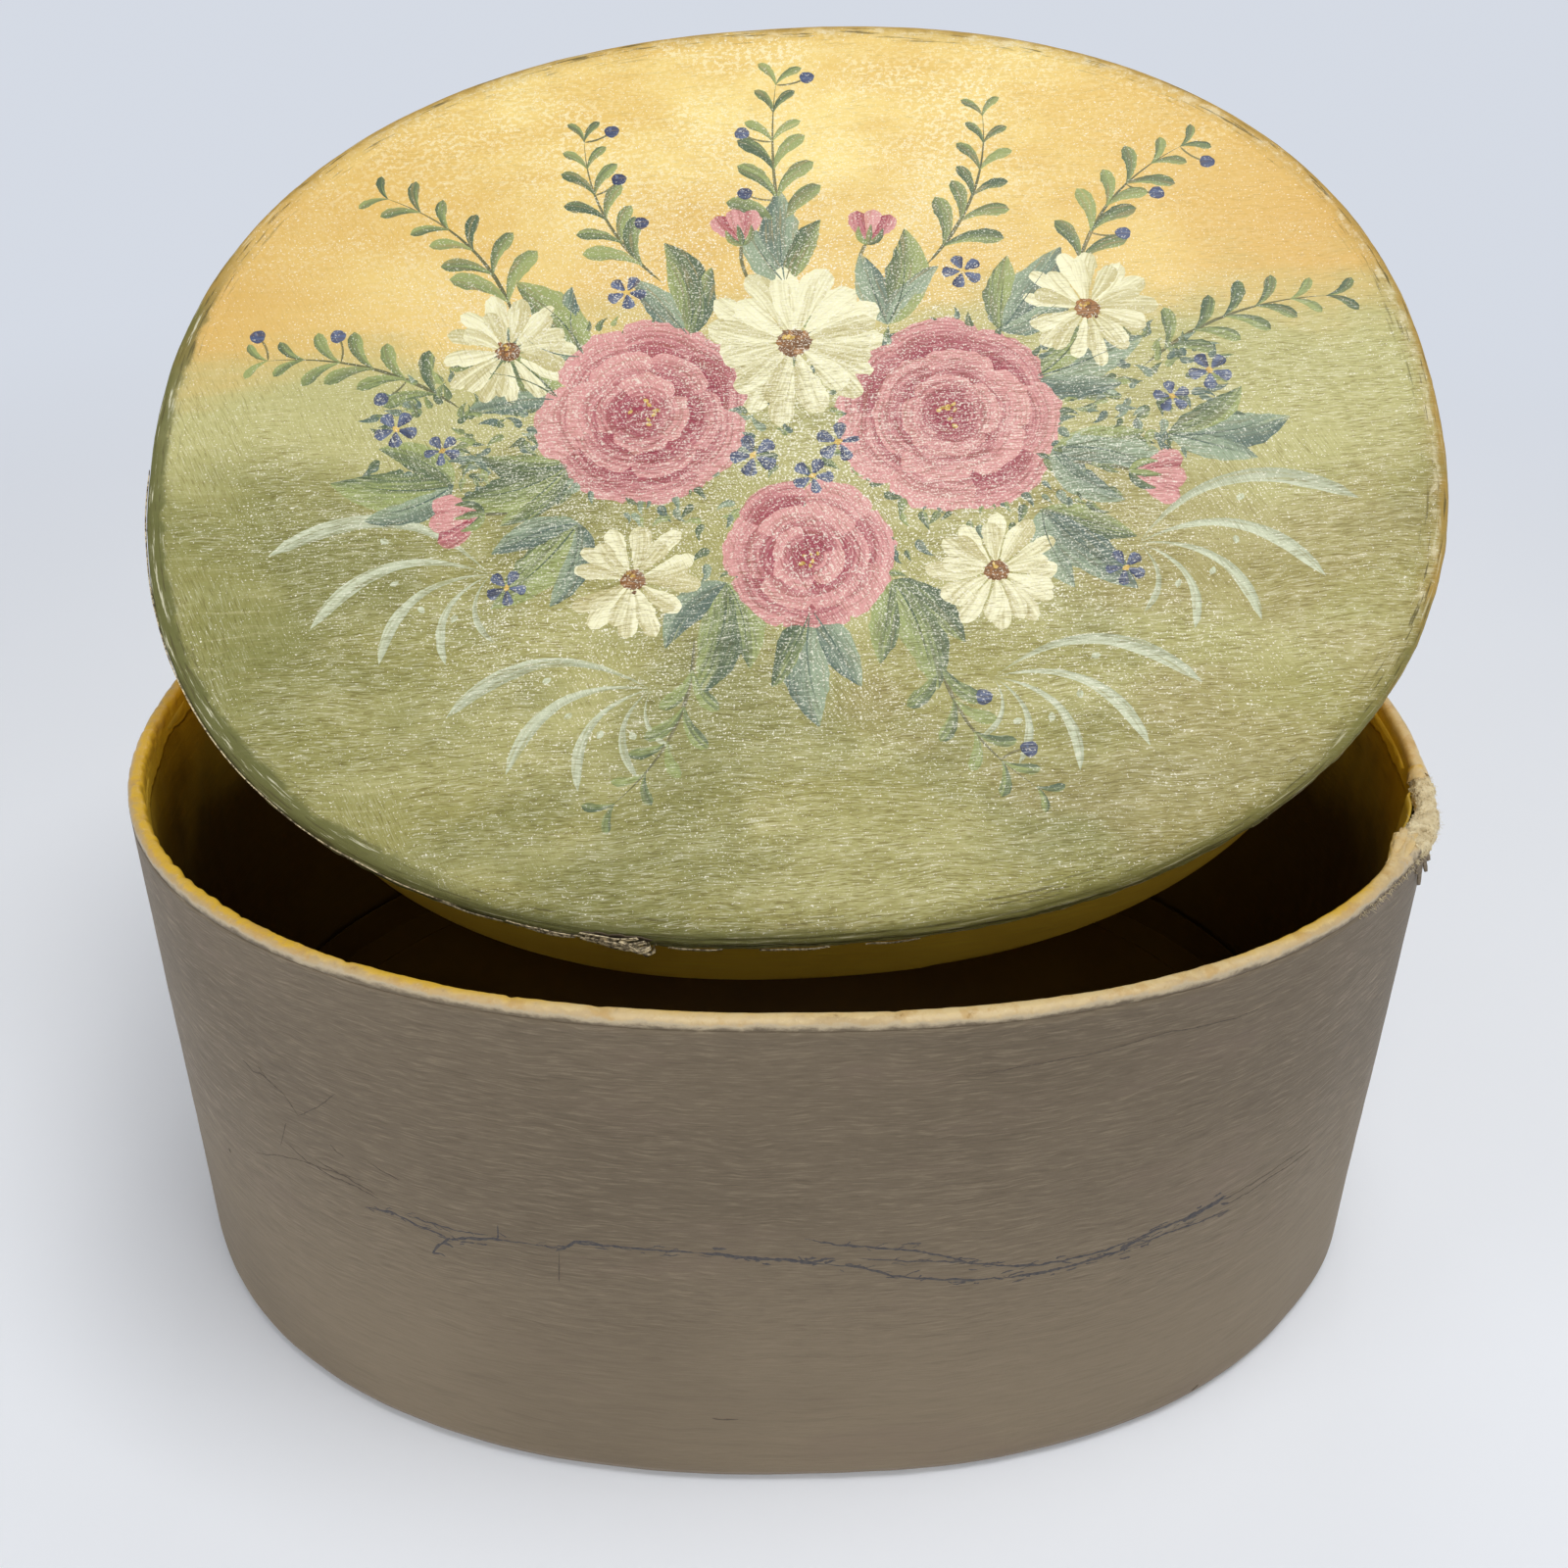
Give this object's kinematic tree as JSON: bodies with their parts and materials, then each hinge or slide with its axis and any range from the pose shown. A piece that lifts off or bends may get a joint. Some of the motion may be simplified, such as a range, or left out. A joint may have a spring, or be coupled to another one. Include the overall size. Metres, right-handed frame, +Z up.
{
  "type": "papier-mache box",
  "caption": "Oval papier-mache box with a painted lid whose deep collar plugs the mouth, the lid off and stood tilted in the mouth",
  "frame": {"origin": "centre of the flat underside of the base, at the surface that the box stands on", "axes": "+Z up, +X along the length of the oval to the right as seen from the front, -Y to the front, towards which the tilted lid faces"},
  "size_m": [0.2741, 0.2447, 0.237],
  "materials": {
    "pasteboard": "raw",
    "underside_paper": "worn",
    "taupe_paper": "brushed paint",
    "ochre_paper": "matt paint",
    "rim_paper": "worn paint",
    "lid_face_paper": "varnished paint",
    "lid_edge_paper": "worn paint"
  },
  "bodies": {
    "box": {"base_underside_paper": "underside_paper", "base_board": "pasteboard", "base_corner_strip": "ochre_paper", "floor_lining_paper": "ochre_paper", "wall_band": "pasteboard", "wall_cover_paper": "taupe_paper", "wall_lining_paper": "ochre_paper", "rim_binding_strip": "rim_paper"},
    "lid": {"lid_board": "pasteboard", "lid_face_paper": "lid_face_paper", "lid_edge_strip": "lid_edge_paper", "lid_underside_paper": "ochre_paper", "collar_band": "pasteboard", "collar_wrap_paper": "ochre_paper", "collar_corner_strip": "ochre_paper"}
  },
  "joints": [
    {"name": "lid_lift", "type": "slide", "parent": "box", "child": "lid", "axis": [0, 0, 1], "range_m": [0, 0.15]}
  ]
}
